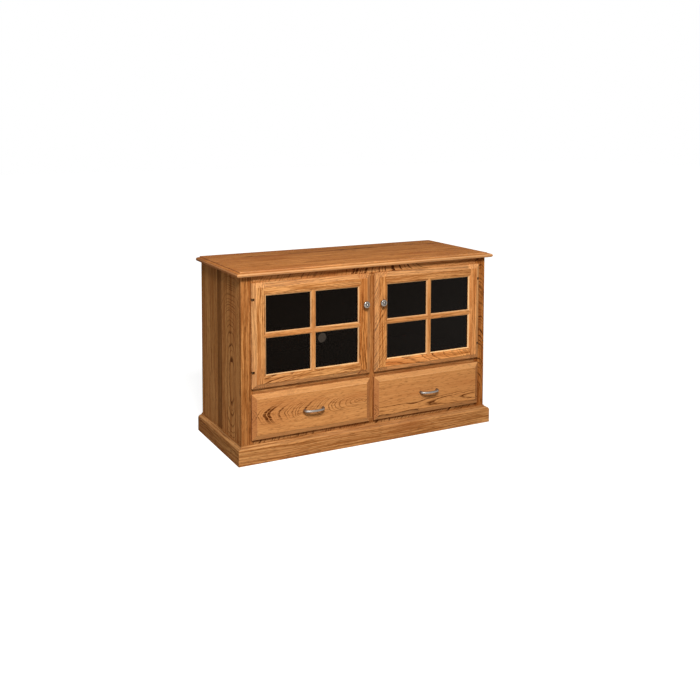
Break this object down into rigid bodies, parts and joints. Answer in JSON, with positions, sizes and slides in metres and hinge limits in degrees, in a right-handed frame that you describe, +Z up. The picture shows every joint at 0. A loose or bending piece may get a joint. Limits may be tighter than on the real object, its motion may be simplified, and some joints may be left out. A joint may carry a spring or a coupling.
{
  "type": "tv stand",
  "caption": "Oak television cabinet with divided smoked-glass doors over drawers, a moulded overhanging top and a mitred plinth; doors swing and drawers slide on extension runners.",
  "frame": {"origin": "on the floor, under the middle of the cabinet's bounding box", "axes": "+X to the cabinet's right as seen from the front, +Y to its back, +Z up; the doors and drawers face -Y"},
  "size_m": [1.2192, 0.5088, 0.7685],
  "materials": {
    "oak": "satin clear lacquer over honey stain",
    "oak_veneer": "satin lacquered veneer",
    "plywood": "sanded birch plywood",
    "smoked_glass": "polished smoked glass",
    "satin_nickel": "satin nickel plate",
    "dark_bronze": "dark bronze plate",
    "zinc_steel": "zinc plated rolled steel",
    "black_plastic": "moulded matt plastic"
  },
  "bodies": {
    "case": {"top_panel": "oak", "left_side_panel": "oak", "right_side_panel": "oak", "back_panel": "oak_veneer", "cord_grommet": "black_plastic", "media_deck": "oak_veneer", "bottom_panel": "plywood", "drawer_divider": "plywood", "rear_top_rail": "oak", "left_face_stile": "oak", "right_face_stile": "oak", "centre_face_stile": "oak", "top_face_rail": "oak", "left_mid_rail": "oak", "right_mid_rail": "oak", "bottom_face_rail": "oak", "front_plinth": "oak", "left_plinth": "oak", "right_plinth": "oak", "left_upper_hinge_frame_leaf": "dark_bronze", "left_lower_hinge_frame_leaf": "dark_bronze", "right_upper_hinge_frame_leaf": "dark_bronze", "right_lower_hinge_frame_leaf": "dark_bronze", "left_slide_cabinet_rail": "zinc_steel", "right_slide_cabinet_rail": "zinc_steel"},
    "left_door": {"left_door_hinge_stile": "oak", "left_door_meeting_stile": "oak", "left_door_top_rail": "oak", "left_door_bottom_rail": "oak", "left_door_grille": "oak", "left_door_glass": "smoked_glass", "left_door_knob": "satin_nickel", "left_upper_hinge_door_leaf": "dark_bronze", "left_lower_hinge_door_leaf": "dark_bronze"},
    "right_door": {"right_door_hinge_stile": "oak", "right_door_meeting_stile": "oak", "right_door_top_rail": "oak", "right_door_bottom_rail": "oak", "right_door_grille": "oak", "right_door_glass": "smoked_glass", "right_door_knob": "satin_nickel", "right_upper_hinge_door_leaf": "dark_bronze", "right_lower_hinge_door_leaf": "dark_bronze"},
    "left_drawer": {"left_drawer_front": "oak", "left_drawer_outer_side": "plywood", "left_drawer_inner_side": "plywood", "left_drawer_back": "plywood", "left_drawer_bottom": "plywood", "left_drawer_pull": "satin_nickel", "left_slide_drawer_rail": "zinc_steel"},
    "right_drawer": {"right_drawer_front": "oak", "right_drawer_outer_side": "plywood", "right_drawer_inner_side": "plywood", "right_drawer_back": "plywood", "right_drawer_bottom": "plywood", "right_drawer_pull": "satin_nickel", "right_slide_drawer_rail": "zinc_steel"},
    "left_slide_middle": {"left_slide_middle_rail": "zinc_steel"},
    "right_slide_middle": {"right_slide_middle_rail": "zinc_steel"}
  },
  "joints": [
    {"name": "left_door_hinge", "type": "hinge", "parent": "case", "child": "left_door", "pos_m": [-0.5406, -0.21505, 0.5105], "axis": [0, 0, -1], "range_deg": [0, 110]},
    {"name": "right_door_hinge", "type": "hinge", "parent": "case", "child": "right_door", "pos_m": [0.5406, -0.21505, 0.5105], "axis": [0, 0, 1], "range_deg": [0, 110]},
    {"name": "left_drawer_slide", "type": "slide", "parent": "case", "child": "left_drawer", "axis": [0, -1, 0], "range_m": [0, 0.35]},
    {"name": "right_drawer_slide", "type": "slide", "parent": "case", "child": "right_drawer", "axis": [0, -1, 0], "range_m": [0, 0.35]},
    {"name": "left_middle_slide", "type": "slide", "parent": "case", "child": "left_slide_middle", "axis": [0, -1, 0], "range_m": [0, 0.175]},
    {"name": "right_middle_slide", "type": "slide", "parent": "case", "child": "right_slide_middle", "axis": [0, -1, 0], "range_m": [0, 0.175]}
  ],
  "couplings": [
    {"joint": "left_middle_slide", "follows": "left_drawer_slide", "ratio": 0.5},
    {"joint": "right_middle_slide", "follows": "right_drawer_slide", "ratio": 0.5}
  ]
}
